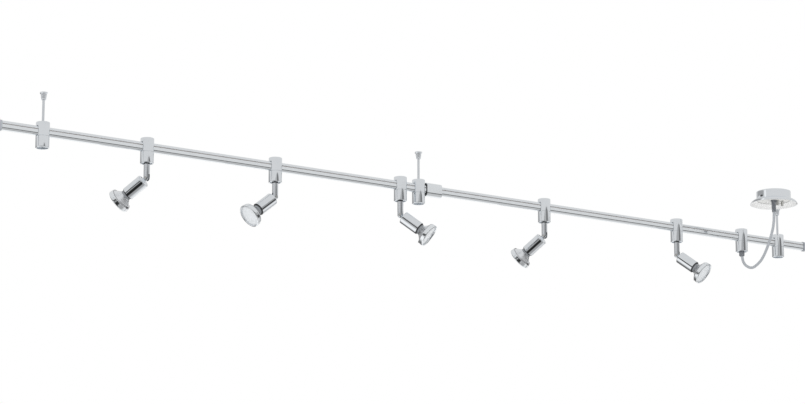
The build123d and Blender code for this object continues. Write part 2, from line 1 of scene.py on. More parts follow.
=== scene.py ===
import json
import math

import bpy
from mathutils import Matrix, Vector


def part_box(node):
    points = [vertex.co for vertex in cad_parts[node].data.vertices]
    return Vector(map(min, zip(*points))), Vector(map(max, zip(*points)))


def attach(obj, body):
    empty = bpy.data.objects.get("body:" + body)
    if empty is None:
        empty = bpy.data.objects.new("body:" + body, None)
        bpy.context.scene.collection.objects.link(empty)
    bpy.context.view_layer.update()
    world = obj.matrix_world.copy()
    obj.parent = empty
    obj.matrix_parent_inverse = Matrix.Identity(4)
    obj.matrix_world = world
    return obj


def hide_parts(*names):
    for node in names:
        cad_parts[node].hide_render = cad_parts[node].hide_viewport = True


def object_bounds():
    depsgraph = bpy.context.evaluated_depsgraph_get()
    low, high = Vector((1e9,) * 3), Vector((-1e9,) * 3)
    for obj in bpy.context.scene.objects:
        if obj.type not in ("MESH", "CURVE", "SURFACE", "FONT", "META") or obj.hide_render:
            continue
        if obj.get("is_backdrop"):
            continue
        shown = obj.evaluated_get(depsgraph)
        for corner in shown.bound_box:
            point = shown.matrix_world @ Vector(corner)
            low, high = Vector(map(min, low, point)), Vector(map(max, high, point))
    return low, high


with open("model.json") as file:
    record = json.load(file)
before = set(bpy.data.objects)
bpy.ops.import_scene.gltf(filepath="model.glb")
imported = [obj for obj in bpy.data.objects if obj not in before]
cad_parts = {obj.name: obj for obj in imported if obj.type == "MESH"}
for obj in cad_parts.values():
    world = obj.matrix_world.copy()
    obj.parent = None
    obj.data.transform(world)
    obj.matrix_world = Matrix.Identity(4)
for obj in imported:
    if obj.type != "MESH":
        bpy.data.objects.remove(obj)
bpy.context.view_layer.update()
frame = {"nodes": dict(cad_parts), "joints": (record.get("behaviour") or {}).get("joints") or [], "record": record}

# Surface track light. The rail frame, clamps, stems, holders and canopy keep their own parts, with their
# finishes made here. The reflector lamps, the supply cord, the canopy's white lining (a painted reflection of
# the white floor in the chrome underside) and the guides in the clamps' slots are modelled here.

MM = 0.001
nodes = frame["nodes"]
joints = {joint["name"]: joint for joint in frame["joints"]}
mounts = {mount["name"]: mount for mount in frame["record"]["mounts"]}
SPOTS = range(1, 6)


# ================================================================ node groups
def new_group(name, inputs, outputs):
    """An empty shader group with its sockets, and its input and output nodes."""
    group = bpy.data.node_groups.new(name, "ShaderNodeTree")
    for label, value in inputs:
        socket = group.interface.new_socket(label, in_out="INPUT", socket_type="NodeSocketFloat")
        socket.default_value = value
    for label, kind in outputs:
        group.interface.new_socket(label, in_out="OUTPUT", socket_type=kind)
    return group, group.nodes.new("NodeGroupInput"), group.nodes.new("NodeGroupOutput")


def add(tree, kind, values=(), **settings):
    """A node with its settings, and with values set on its input sockets by name or number."""
    node = tree.nodes.new(kind)
    for key, value in settings.items():
        setattr(node, key, value)
    for key, value in dict(values).items():
        node.inputs[key].default_value = value
    return node


def texture(tree, kind, values=(), **settings):
    """A texture node laid on the Object coordinates."""
    node = add(tree, kind, values, **settings)
    place = add(tree, "ShaderNodeTexCoord")
    tree.links.new(place.outputs["Object"], node.inputs["Vector"])
    return node


def math_node(tree, operation, *terms, clamp=False):
    """A Math node whose inputs are sockets or plain numbers."""
    node = add(tree, "ShaderNodeMath", operation=operation, use_clamp=clamp)
    for socket, value in zip(node.inputs, terms):
        if isinstance(value, (int, float)):
            socket.default_value = value
        else:
            tree.links.new(value, socket)
    return node.outputs[0]


def polish_group():
    """Handled bright metal: faint smudges and hairlines that change its roughness and height."""
    group, given, out = new_group(
        "polish_wear",
        [("Base roughness", 0.05), ("Smudge", 0.05), ("Hairlines", 0.3), ("Grain X", 1.0), ("Grain Z", 1.0)],
        [("Roughness", "NodeSocketFloat"), ("Height", "NodeSocketFloat"), ("Dulling", "NodeSocketFloat")],
    )
    smudge = texture(group, "ShaderNodeTexNoise", {"Scale": 38.0, "Detail": 4.0, "Roughness": 0.6})
    place = add(group, "ShaderNodeTexCoord")
    stretch = add(group, "ShaderNodeCombineXYZ", {"Y": 1.0})
    group.links.new(given.outputs["Grain X"], stretch.inputs["X"])
    group.links.new(given.outputs["Grain Z"], stretch.inputs["Z"])
    along = add(group, "ShaderNodeVectorMath", operation="MULTIPLY")
    group.links.new(place.outputs["Object"], along.inputs[0])
    group.links.new(stretch.outputs[0], along.inputs[1])
    hair = add(group, "ShaderNodeTexNoise", {"Scale": 1500.0, "Detail": 2.0, "Roughness": 0.5})
    group.links.new(along.outputs[0], hair.inputs["Vector"])
    strong = math_node(group, "SUBTRACT", smudge.outputs["Fac"], 0.42, clamp=True)
    dull = math_node(group, "MULTIPLY", strong, given.outputs["Smudge"])
    rough = math_node(group, "ADD", given.outputs["Base roughness"], dull)
    group.links.new(rough, out.inputs["Roughness"])
    height = math_node(group, "MULTIPLY", hair.outputs["Fac"], given.outputs["Hairlines"])
    group.links.new(height, out.inputs["Height"])
    group.links.new(strong, out.inputs["Dulling"])
    return group


def moulded_group():
    """Moulded plastic: a fine spark-eroded skin, and a slow drift in shade."""
    group, given, out = new_group(
        "moulded_skin",
        [("Skin scale", 2600.0), ("Base roughness", 0.4)],
        [("Shade", "NodeSocketFloat"), ("Height", "NodeSocketFloat"), ("Roughness", "NodeSocketFloat")],
    )
    skin = texture(group, "ShaderNodeTexVoronoi", feature="F1")
    group.links.new(given.outputs["Skin scale"], skin.inputs["Scale"])
    drift = texture(group, "ShaderNodeTexNoise", {"Scale": 60.0, "Detail": 5.0})
    group.links.new(skin.outputs["Distance"], out.inputs["Height"])
    group.links.new(drift.outputs["Fac"], out.inputs["Shade"])
    spread = math_node(group, "MULTIPLY", drift.outputs["Fac"], 0.18)
    rough = math_node(group, "ADD", given.outputs["Base roughness"], spread)
    group.links.new(rough, out.inputs["Roughness"])
    return group


POLISH = polish_group()
MOULDED = moulded_group()


# ================================================================ materials
def new_material(name, **shader_values):
    """A material with one Principled shader, and the values that are the same all over it."""
    material = bpy.data.materials.new(name)
    material.use_nodes = True
    tree = material.node_tree
    shader = tree.nodes["Principled BSDF"]
    for label, value in shader_values.items():
        shader.inputs[label.replace("_", " ")].default_value = value
    return material, tree, shader


def two_tone(tree, shader, mask, first, second):
    """Base colour that goes from one colour to another with a mask."""
    mix = add(tree, "ShaderNodeMix", data_type="RGBA")
    mix.inputs["A"].default_value = (*first, 1)
    mix.inputs["B"].default_value = (*second, 1)
    tree.links.new(mask, mix.inputs["Factor"])
    tree.links.new(mix.outputs["Result"], shader.inputs["Base Color"])


def bump(tree, shader, height, strength, depth):
    """Surface relief from a height, with its depth in metres."""
    relief = add(tree, "ShaderNodeBump", {"Strength": strength, "Distance": depth})
    tree.links.new(height, relief.inputs["Height"])
    tree.links.new(relief.outputs["Normal"], shader.inputs["Normal"])


def bright_metal(name, colour, dull_colour, roughness, smudge, hairlines=0.3, grain=(1.0, 1.0)):
    """Polished or satin metal with handling marks."""
    material, tree, shader = new_material(name, Metallic=1.0)
    marks = add(tree, "ShaderNodeGroup", node_tree=POLISH)
    for label, value in zip(
        ("Base roughness", "Smudge", "Hairlines", "Grain X", "Grain Z"),
        (roughness, smudge, hairlines, *grain),
    ):
        marks.inputs[label].default_value = value
    two_tone(tree, shader, marks.outputs["Dulling"], colour, dull_colour)
    tree.links.new(marks.outputs["Roughness"], shader.inputs["Roughness"])
    bump(tree, shader, marks.outputs["Height"], strength=0.12, depth=0.02 * MM)
    return material


def moulded_plastic(name, colour, worn_colour, roughness, skin=2600.0, strength=0.25):
    """Moulded plastic or rubber, a little uneven in shade."""
    material, tree, shader = new_material(name)
    skin_node = add(tree, "ShaderNodeGroup", node_tree=MOULDED)
    skin_node.inputs["Skin scale"].default_value = skin
    skin_node.inputs["Base roughness"].default_value = roughness
    two_tone(tree, shader, skin_node.outputs["Shade"], colour, worn_colour)
    tree.links.new(skin_node.outputs["Roughness"], shader.inputs["Roughness"])
    bump(tree, shader, skin_node.outputs["Height"], strength, depth=0.06 * MM)
    return material


CHROME = (0.855, 0.885, 0.915)
CHROME_DULL = (0.72, 0.75, 0.785)
ALONG_X = (0.02, 1.0)  # hairlines drawn out along the rails
ALONG_Z = (1.0, 0.03)  # hairlines drawn out along the rods
finishes = {
    "rail_chrome": bright_metal(
        "rail_satin_chrome", (0.895, 0.925, 0.95), (0.81, 0.835, 0.865),
        roughness=0.09, smudge=0.10, hairlines=0.5, grain=ALONG_X,
    ),
    "chrome": bright_metal("clamp_chrome_plate", CHROME, CHROME_DULL, roughness=0.045, smudge=0.08),
    "rod_chrome": bright_metal(
        "rod_chrome_plate", (0.72, 0.745, 0.775), (0.605, 0.63, 0.66),
        roughness=0.12, smudge=0.08, hairlines=0.5, grain=ALONG_Z,
    ),
    "holder_chrome": bright_metal("holder_chrome_plate", CHROME, CHROME_DULL, roughness=0.05, smudge=0.08),
    "canopy_chrome": bright_metal("canopy_chrome_plate", CHROME, CHROME_DULL, roughness=0.07, smudge=0.10),
    "foot_metal": bright_metal(
        "foot_satin_plate", (0.815, 0.845, 0.875), (0.685, 0.71, 0.745), roughness=0.28, smudge=0.12
    ),
    "steel": bright_metal(
        "zinc_plated_steel", (0.62, 0.62, 0.60), (0.48, 0.47, 0.44), roughness=0.30, smudge=0.2, hairlines=0.8
    ),
    "tinned_copper": bright_metal(
        "tinned_copper", (0.60, 0.56, 0.52), (0.46, 0.40, 0.35), roughness=0.30, smudge=0.3, hairlines=0.6
    ),
    "insulator": moulded_plastic(
        "groove_insulator", (0.44, 0.46, 0.485), (0.52, 0.54, 0.565), roughness=0.45
    ),
    "end_plastic": moulded_plastic(
        "end_cap_plastic", (0.285, 0.30, 0.325), (0.36, 0.38, 0.405), roughness=0.35
    ),
    "black_plastic": moulded_plastic(
        "black_plastic", (0.012, 0.012, 0.013), (0.03, 0.03, 0.032), roughness=0.33
    ),
    "gland_plastic": moulded_plastic(
        "gland_plastic", (0.13, 0.14, 0.155), (0.19, 0.20, 0.22), roughness=0.22
    ),
    "white_plastic": moulded_plastic(
        "white_plastic", (0.88, 0.88, 0.87), (0.82, 0.82, 0.80), roughness=0.35, skin=1500.0, strength=0.03
    ),
    "cord_sheath": moulded_plastic(
        "cord_sheath", (0.34, 0.36, 0.385), (0.42, 0.44, 0.465), roughness=0.38, skin=1500.0, strength=0.15
    ),
}


def paint(piece, material):
    """One material all over a piece."""
    piece.data.materials.clear()
    piece.data.materials.append(material)


for part in frame["record"]["subparts"]:
    if part["material_slot"] in finishes:
        paint(nodes[part["node"]], finishes[part["material_slot"]])


# ================================================================ shaping tools
def deselect_all():
    """Leaves edit mode and selects nothing."""
    if bpy.context.object and bpy.context.object.mode != "OBJECT":
        bpy.ops.object.mode_set(mode="OBJECT")
    bpy.ops.object.select_all(action="DESELECT")


def only(piece):
    """Selects one piece and makes it active."""
    deselect_all()
    piece.select_set(True)
    bpy.context.view_layer.objects.active = piece


def settle(piece):
    """Puts a piece's place, turn and size into its mesh."""
    only(piece)
    bpy.ops.object.transform_apply(location=True, rotation=True, scale=True)


def smooth(piece, angle):
    """Smooths a piece's shading where its faces meet at less than an angle in degrees."""
    only(piece)
    bpy.ops.object.shade_smooth_by_angle(angle=math.radians(angle))


def turned(name, profile, sides, closed=False):
    """A piece turned about Z: a ring, extruded and scaled along (radius, height) pairs in millimetres."""
    deselect_all()
    radius, height = profile[0]
    bpy.ops.mesh.primitive_circle_add(vertices=sides, radius=radius * MM, location=(0, 0, height * MM))
    piece = bpy.context.object
    piece.name = name
    settle(piece)
    bpy.ops.object.mode_set(mode="EDIT")
    bpy.ops.mesh.select_mode(type="VERT")
    bpy.ops.mesh.select_all(action="SELECT")
    for next_radius, next_height in profile[1:]:
        rise = (0, 0, (next_height - height) * MM)
        bpy.ops.mesh.extrude_region_move(TRANSFORM_OT_translate={"value": rise})
        grow = next_radius / radius
        bpy.ops.transform.resize(value=(grow, grow, 1), center_override=(0, 0, next_height * MM))
        radius, height = next_radius, next_height
    bpy.ops.mesh.select_all(action="SELECT")
    if closed:
        bpy.ops.mesh.remove_doubles(threshold=0.001 * MM)
    else:
        bpy.ops.mesh.fill_holes(sides=0)
    bpy.ops.mesh.normals_make_consistent(inside=False)
    bpy.ops.object.mode_set(mode="OBJECT")
    return piece


def block(name, size, place):
    """A box of a size, about a place, in millimetres."""
    deselect_all()
    bpy.ops.mesh.primitive_cube_add(size=1, location=[v * MM for v in place])
    piece = bpy.context.object
    piece.name = name
    piece.scale = [v * MM for v in size]
    settle(piece)
    return piece


def apply_modifier(piece, kind, **settings):
    """Adds a modifier with its settings and applies it."""
    only(piece)
    modifier = piece.modifiers.new(kind.lower(), kind)
    for key, value in settings.items():
        setattr(modifier, key, value)
    bpy.ops.object.modifier_apply(modifier=modifier.name)


def soften(piece, width, segments=2, angle=35):
    """Rounds a piece's sharp edges and smooths its shading."""
    apply_modifier(
        piece, "BEVEL", width=width * MM, segments=segments, limit_method="ANGLE",
        angle_limit=math.radians(angle), harden_normals=False,
    )
    smooth(piece, angle)


def join(name, *pieces):
    """Joins pieces into one, keeping each one's material."""
    only(pieces[0])
    for piece in pieces:
        piece.select_set(True)
    bpy.ops.object.join()
    pieces[0].name = name
    return pieces[0]


def copy_of(piece, name):
    """A copy with its own mesh."""
    twin = piece.copy()
    twin.data = piece.data.copy()
    twin.name = name
    bpy.context.scene.collection.objects.link(twin)
    return twin


def arc(centre, radius, start, end, steps):
    """Profile points along an arc, as (radius, height) pairs, with its angles in degrees from +radius."""
    turns = [math.radians(start + (end - start) * i / steps) for i in range(steps + 1)]
    return [(centre[0] + radius * math.cos(t), centre[1] + radius * math.sin(t)) for t in turns]


# ================================================================ reflector lamp
# Drawn in millimetres with the tilt axis at the origin and the light going down -Z, as a head hangs
# straight down. Depths are behind the lamp's face.
LAMP_FACE = -77.0
BAND = 10.0  # depth of the rim band
BELL_R = 22.6  # where the bell comes out of the band
BELL_WALL = 0.9
NECK_R = 10.9
NECK_DEPTH = 21.6  # where the bell meets the neck
BOWL_INSET = 1.6  # of the mirrored bowl inside the bell
BOWL_WALL = 0.25
GLASS_DEPTH = 3.0  # of the front glass inside the band
BASE_R = 10.3
BASE_TOP = -27.4
PIN_PITCH = 10.0
PIN_R = 1.5
PIN_FOOT_R = 2.3
HOLDER_END = -49.0
FACET_COLUMNS = 36
FACET_MARGIN = 0.4  # round each facet
FACET_RELIEF = 0.12


def bell_radius(depth):
    """Outside radius of the bell at a depth: almost a cone, hollowed towards the neck."""
    share = min(max((depth - BAND) / (NECK_DEPTH - BAND), 0.0), 1.0)
    return NECK_R + (BELL_R - NECK_R) * (1 - share) ** 1.2


def clear_glass():
    """Glass of the capsule, with a slight ripple."""
    material, tree, shader = new_material("capsule_glass", Transmission_Weight=1.0, IOR=1.47, Roughness=0.02)
    shader.inputs["Base Color"].default_value = (0.93, 0.95, 0.96, 1)
    ripple = texture(tree, "ShaderNodeTexNoise", {"Scale": 260.0, "Detail": 2.0})
    bump(tree, shader, ripple.outputs["Fac"], strength=0.25, depth=0.2 * MM)
    return material


def satin_lens():
    """Etched front glass over the bright reflector: white and soft, with a fine pressed pattern."""
    material, tree, shader = new_material("etched_lens", IOR=1.47, Coat_Weight=0.6, Coat_Roughness=0.08)
    cells = texture(tree, "ShaderNodeTexVoronoi", {"Scale": 900.0}, feature="SMOOTH_F1")
    cloud = texture(tree, "ShaderNodeTexNoise", {"Scale": 70.0, "Detail": 3.0})
    two_tone(tree, shader, cloud.outputs["Fac"], (0.78, 0.81, 0.835), (0.88, 0.905, 0.93))
    rough = math_node(tree, "MULTIPLY_ADD", cloud.outputs["Fac"], 0.2, 0.25)
    tree.links.new(rough, shader.inputs["Roughness"])
    bump(tree, shader, cells.outputs["Distance"], strength=0.35, depth=0.3 * MM)
    return material


def mirrored_glass(name, colour, dull_colour):
    """Aluminised glass: a mirror under a smooth clear skin, a little uneven."""
    material, tree, shader = new_material(name, Metallic=1.0, Coat_Weight=0.5, Coat_Roughness=0.03)
    film = texture(tree, "ShaderNodeTexNoise", {"Scale": 90.0, "Detail": 3.0})
    two_tone(tree, shader, film.outputs["Fac"], colour, dull_colour)
    rough = math_node(tree, "MULTIPLY_ADD", film.outputs["Fac"], 0.10, 0.06)
    tree.links.new(rough, shader.inputs["Roughness"])
    bump(tree, shader, film.outputs["Fac"], strength=0.2, depth=0.2 * MM)
    return material


GLASS = clear_glass()
LENS = satin_lens()
BELL_MIRROR = mirrored_glass("bell_mirror", (0.84, 0.865, 0.895), (0.91, 0.93, 0.95))
BOWL_MIRROR = mirrored_glass("bowl_mirror", (0.78, 0.80, 0.84), (0.88, 0.88, 0.86))
RIM_METAL = bright_metal(
    "lamp_rim_band", (0.905, 0.935, 0.96), (0.82, 0.845, 0.875), roughness=0.14, smudge=0.12
)
# Seal grey, partly the seal's own colour and partly painted shade for the dark line where the glass meets the
# band.
SEAL_AND_SHADE_LINE = moulded_plastic("lens_seal_painted_shade", (0.48, 0.50, 0.525), (0.56, 0.58, 0.605), roughness=0.4, skin=1800.0)
NECK_GLAZE = moulded_plastic(
    "lamp_neck_glaze", (0.19, 0.20, 0.215), (0.255, 0.27, 0.285), roughness=0.16, skin=1800.0
)
CLIP = moulded_plastic(
    "clip_plastic", (0.010, 0.010, 0.011), (0.025, 0.025, 0.027), roughness=0.25, strength=0.1
)
BEAD = moulded_plastic("rim_bead", (0.22, 0.22, 0.23), (0.30, 0.30, 0.31), roughness=0.2, strength=0.05)


def lamp_bell():
    """Pressed glass bell: bands of shallow facets inside and out, each one raised within its margin."""
    depths = (9.6, 11.2, 12.9, 14.6, 16.4, 18.2, 20.0, NECK_DEPTH)
    outside = [(bell_radius(d), LAMP_FACE + d) for d in depths]
    inside = [(r - BELL_WALL, z - 0.5) for r, z in reversed(outside)]
    bell = turned("bell", outside + inside + outside[:1], sides=FACET_COLUMNS, closed=True)
    paint(bell, BELL_MIRROR)
    only(bell)
    bpy.ops.object.shade_flat()
    bpy.ops.object.mode_set(mode="EDIT")
    bpy.ops.mesh.select_mode(type="FACE")
    bpy.ops.mesh.select_all(action="SELECT")
    bpy.ops.mesh.inset(thickness=FACET_MARGIN * MM, depth=FACET_RELIEF * MM, use_individual=True)
    smooth(bell, 24)
    return bell


def lamp_reflector():
    """The mirrored bowl just inside the glass, with flat facets."""
    depths = (9.6, 11.4, 13.4, 15.6, 18.0, 20.4)
    inner = [(bell_radius(d) - BOWL_INSET, LAMP_FACE + d - 0.9) for d in depths]
    wall = [(r - BOWL_WALL, z - 0.1) for r, z in reversed(inner)]
    bowl = turned("bowl", inner + wall + inner[:1], sides=32, closed=True)
    paint(bowl, BOWL_MIRROR)
    only(bowl)
    bpy.ops.object.shade_flat()
    return bowl


def rim_clip():
    """Small black foot of the clip that holds the front glass, on the rim's lower back edge."""
    foot = block("clip_foot", (2.6, 4.4, 3.4), (-22.8, 0, LAMP_FACE + BAND + 0.5))
    paint(foot, CLIP)
    soften(foot, 0.7, segments=3, angle=30)
    return foot


def lamp_rim():
    """Thick rolled band round the front glass, with a dark bead where the bell comes out of it."""
    face, back = LAMP_FACE, LAMP_FACE + BAND
    profile = [(22.4, face + 1.0), (22.8, face + 0.3)]
    profile += arc((23.25, face + 1.75), 1.75, -90, 0, 6)
    profile += [(24.7, face + 4.0), (24.4, face + 7.0)]
    profile += arc((22.5, back - 1.8), 1.8, 0, 90, 6)
    profile += [(21.8, back), (21.8, face + 4.6), (22.4, face + 4.2), (22.4, face + 1.0)]
    band = turned("band", profile, sides=96, closed=True)
    paint(band, RIM_METAL)
    bead = turned("bead", arc((22.7, back + 0.3), 0.7, -90, 270, 12), sides=72, closed=True)
    paint(bead, BEAD)
    for piece in (band, bead):
        smooth(piece, 36)
    return join("rim", band, bead, rim_clip())


def lamp_lens():
    """Front glass set back inside the band, slightly domed, with a grey seal at the edge that also paints the
    shaded line round the glass.
    """
    edge = LAMP_FACE + GLASS_DEPTH
    front = [(0.4, edge - 0.6), (8.0, edge - 0.5), (15.0, edge - 0.2), (20.6, edge + 0.1), (22.4, edge + 0.2)]
    back = [(22.4, edge + 1.1), (0.4, edge + 0.6)]
    lens = turned("lens", front + back, sides=72)
    paint(lens, LENS)
    smooth(lens, 30)
    # Seal ring at the glass edge: partly a real seal, partly painted shade for the shaded groove line there.
    lip = [(21.4, edge + 0.4), (21.6, edge - 0.1), (22.3, edge - 0.1), (22.3, edge + 0.4)]
    seal = turned("seal", lip + lip[:1], sides=72, closed=True)
    paint(seal, SEAL_AND_SHADE_LINE)
    return join("lens", lens, seal)


def lamp_neck():
    """Glazed neck between the lampholder and the bell, with a bead where it meets the bell."""
    end = LAMP_FACE + NECK_DEPTH
    profile = [(BASE_R - 0.3, BASE_TOP), (BASE_R, BASE_TOP - 0.6), (BASE_R, HOLDER_END - 2.4)]
    profile += [(NECK_R - 0.1, HOLDER_END - 3.2), (NECK_R - 0.1, end + 0.8), (NECK_R + 0.4, end + 0.4)]
    profile += [(NECK_R + 0.4, end - 0.2), (NECK_R - 0.8, end - 1.6), (4.0, end - 1.6)]
    neck = turned("neck", profile, sides=48)
    paint(neck, NECK_GLAZE)
    soften(neck, 0.25, angle=30)
    return neck


def lamp_burner():
    """Capsule on the axis, with its pinch seal."""
    base = LAMP_FACE + NECK_DEPTH - 1.4
    pinch = turned("pinch", [(2.6, base), (2.6, base - 4.0), (2.0, base - 4.6)], sides=24)
    paint(pinch, NECK_GLAZE)
    soften(pinch, 0.3)
    side = [(1.8, base - 4.4), (2.9, base - 5.6), (3.0, base - 9.4)]
    tip = [(2.1, base - 11.0), (0.6, base - 11.6)]
    bulb = turned("bulb", side + tip, sides=24)
    paint(bulb, GLASS)
    smooth(bulb, 60)
    return join("burner", pinch, bulb)


def lamp_pins():
    """Two bayonet pins, each with its wider foot."""
    made = []
    shank = [(PIN_R, BASE_TOP - 0.5), (PIN_R, BASE_TOP + 4.6)]
    foot = [(PIN_FOOT_R, BASE_TOP + 4.8), (PIN_FOOT_R, BASE_TOP + 6.8)]
    for side in (-1, 1):
        pin = turned("pin", shank + foot, sides=24)
        pin.location = (0, side * PIN_PITCH / 2 * MM, 0)
        settle(pin)
        paint(pin, finishes["steel"])
        soften(pin, 0.3)
        made.append(pin)
    return join("pins", *made)


def head_place(number):
    """Where a head hangs: its hinge point, its heading, and its tilt from straight down."""
    tilt = joints[f"tilt_{number}"]
    heading = math.atan2(-tilt["axis"][0], tilt["axis"][1])
    return Vector(tilt["pos_m"]), heading, math.radians(-tilt["range_deg"][1])


def hang(piece, number, body):
    """Turns a piece drawn straight down to a head's rest place, and puts it on its body."""
    point, heading, tilt = head_place(number)
    piece.rotation_mode = "XYZ"
    piece.rotation_euler = (0, tilt, heading)
    piece.location = point
    settle(piece)
    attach(piece, body)


lamp_parts = {
    "lamp_bell": lamp_bell(),
    "lamp_reflector": lamp_reflector(),
    "lamp_rim": lamp_rim(),
    "lamp_lens": lamp_lens(),
    "lamp_neck": lamp_neck(),
    "lamp_burner": lamp_burner(),
    "lamp_pins": lamp_pins(),
}
for number in SPOTS:
    for label, part in lamp_parts.items():
        twin = copy_of(part, f"{label}_{number}")
        hang(twin, number, f"head_{number}")
        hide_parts(f"lamp_{number}")
for part in lamp_parts.values():
    bpy.data.objects.remove(part)


# ================================================================ supply cord
CORD_DIAMETER = 0.006
CORD_ROUTE = [
    (0.8540, -0.1250, -0.0390),
    (0.8540, -0.1250, -0.0575),
    (0.8542, -0.1216, -0.0765),
    (0.8550, -0.1115, -0.0970),
    (0.8561, -0.0961, -0.1210),
    (0.8574, -0.0771, -0.1412),
    (0.8586, -0.0612, -0.1495),
    (0.8603, -0.0372, -0.1565),
    (0.8624, -0.0088, -0.1428),
    (0.8630, 0.0000, -0.1240),
    (0.8630, 0.0000, -0.1120),
]


def supply_cord():
    """The flex from the canopy's gland to the feed gland, hanging in one plane."""
    curve = bpy.data.curves.new("flex", "CURVE")
    curve.dimensions = "3D"
    spline = curve.splines.new("NURBS")
    spline.points.add(len(CORD_ROUTE) - 1)
    for point, place in zip(spline.points, CORD_ROUTE):
        point.co = (*place, 1.0)
    spline.order_u = 3
    spline.use_endpoint_u = True
    spline.resolution_u = 12
    curve.bevel_depth = CORD_DIAMETER / 2
    curve.bevel_resolution = 8
    curve.use_fill_caps = True
    cord = bpy.data.objects.new("flex", curve)
    bpy.context.scene.collection.objects.link(cord)
    curve.materials.append(finishes["cord_sheath"])
    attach(cord, "rail_frame")
    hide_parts("supply_cord")


supply_cord()


# ================================================================ canopy lining, painted reflection
LINING = 0.25  # thickness of the white lining
# Inside of the canopy's flared brim, from the crown to the edge.
FLARE = [
    (36.4, -19.1), (38.5, -19.9), (41.0, -20.5), (43.6, -21.2),
    (46.1, -22.3), (48.2, -23.8), (49.8, -25.5), (50.7, -27.2),
]


def canopy_reflection_lining():
    """White lining on the inside of the canopy's flared brim, a painted reflection: its flat white stands in for
    the chrome mirroring the white floor below.
    """
    inner = [(r, z - LINING) for r, z in FLARE]
    reflection_lining = turned("reflection_lining", FLARE + inner[::-1] + FLARE[:1], sides=96, closed=True)
    # Painted reflection: a near-white diffuse colour in place of the chrome's mirror image of the white floor.
    white = moulded_plastic(
        "white_lining_painted_reflection", (0.94, 0.94, 0.935), (0.97, 0.97, 0.965), roughness=0.20, skin=900.0, strength=0.01
    )
    paint(reflection_lining, white)
    middle = mounts["canopy_screws"]["pos_m"]
    reflection_lining.location = (middle[0], middle[1], 0)
    settle(reflection_lining)
    smooth(reflection_lining, 30)
    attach(reflection_lining, "rail_frame")


canopy_reflection_lining()


# ================================================================ rail guides
# Grey liners in the corners of each clamp's slot, round the rail, at both mouths of the slot.
RAIL_SECTION = (10.4, 19.4)
GUIDE_CLEAR = 0.2  # between the rail and the guide
GUIDE_SECTION = (11.8, 19.7)
GUIDE_DROP = 0.05  # of the guide's middle below the rail's
GUIDE_SPAN = (8.2, 12.0)  # along the rail, from the clamp's middle


def rail_guide():
    """Both mouths' liners of one clamp, with the rail's rounded outline cut through them."""
    near, far = GUIDE_SPAN
    width, height = GUIDE_SECTION
    size = (far - near, width, height)
    middle = (near + far) / 2
    ends = [block("guide_end", size, (side * middle, 0, -GUIDE_DROP)) for side in (-1, 1)]
    guide = join("guide", *ends)
    across, tall = (side + 2 * GUIDE_CLEAR for side in RAIL_SECTION)
    cutter = block("cutter", (4 * far, across, tall), (0, 0, 0))
    rounding = across / 2 - 0.02  # the rail's rounded edges all but meet
    only(cutter)
    bpy.ops.object.mode_set(mode="EDIT")
    bpy.ops.mesh.select_mode(type="EDGE")
    bpy.ops.mesh.select_all(action="DESELECT")
    bpy.ops.object.mode_set(mode="OBJECT")
    for edge in cutter.data.edges:
        first, second = (cutter.data.vertices[i].co for i in edge.vertices)
        edge.select = abs(first.x - second.x) > far * MM
    bpy.ops.object.mode_set(mode="EDIT")
    bpy.ops.mesh.bevel(offset=rounding * MM, segments=10)
    bpy.ops.object.mode_set(mode="OBJECT")
    apply_modifier(guide, "BOOLEAN", operation="DIFFERENCE", object=cutter, solver="EXACT")
    bpy.data.objects.remove(cutter)
    grey = moulded_plastic(
        "guide_plastic", (0.58, 0.60, 0.62), (0.66, 0.68, 0.70), roughness=0.35, skin=1800.0, strength=0.05
    )
    paint(guide, grey)
    soften(guide, 0.15, angle=40)
    return guide


def middle_of(node):
    """Middle of a CAD node's box."""
    low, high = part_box(node)
    return (low + high) / 2


def fit_guides():
    """One pair of liners in every clamp, moving with it."""
    guide = rail_guide()
    posts = ("left", "middle", "right")
    clamps = [(mounts[f"ceiling_{post}"]["pos_m"][0], "rail_frame", post) for post in posts]
    clamps.append((middle_of("feed_cap").x, "rail_frame", "feed"))
    clamps += [(middle_of(f"adapter_cap_{n}").x, f"adapter_{n}", str(n)) for n in SPOTS]
    rail_height = middle_of("rail_left").z
    for x, body, label in clamps:
        twin = copy_of(guide, f"rail_guide_{label}")
        twin.location = (x, 0, rail_height)
        settle(twin)
        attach(twin, body)
    bpy.data.objects.remove(guide)


fit_guides()


# ================================================================ studio
# The studio is what bright metal mirrors, as grey levels from 0 to 1.
# Its levels by the sine of the height: the floor and its light edge, the dark horizon, walls and ceiling.
STUDIO_LEVELS = [
    (-1.0, 0.38), (-0.80, 0.38), (-0.66, 0.8), (-0.55, 1.0), (-0.30, 1.0), (-0.20, 0.6), (-0.12, 0.10),
    (0.0, 0.03), (0.08, 0.06), (0.16, 0.25), (0.26, 0.5), (0.40, 0.68), (1.0, 0.7),
]
# Two belts whose level changes with the compass bearing, each as (how far it takes over at each height,
# its levels by bearing in degrees).
STUDIO_BELTS = [
    (
        [(-1.0, 0), (0.07, 0), (0.12, 1), (0.32, 1), (0.45, 0), (1.0, 0)],
        [
            (-180, 0.44), (-164, 0.48), (-147, 0.38), (-130, 0.56), (-109, 0.70), (-90, 0.74), (-60, 0.5),
            (-50, 0.42), (-3, 0.38), (18, 0.5), (36, 0.9), (72, 0.62), (88, 0.58), (116, 0.50), (139, 0.38),
            (153, 0.36), (162, 0.10), (172, 0.12), (180, 0.44),
        ],
    ),
    (
        [(-1.0, 0), (-0.75, 0), (-0.60, 1), (-0.26, 1), (-0.16, 0), (1.0, 0)],
        [
            (-180, 0.45), (-125, 0.38), (-105, 0.45), (-95, 0.75), (-84, 1.0), (-62, 1.0), (-50, 0.8),
            (-38, 0.5), (-26, 0.28), (-8, 0.12), (14, 0.10), (30, 0.42), (48, 0.52), (74, 0.45),
            (91, 0.66), (104, 0.9), (118, 0.9), (128, 0.66), (145, 0.5), (180, 0.45),
        ],
    ),
]
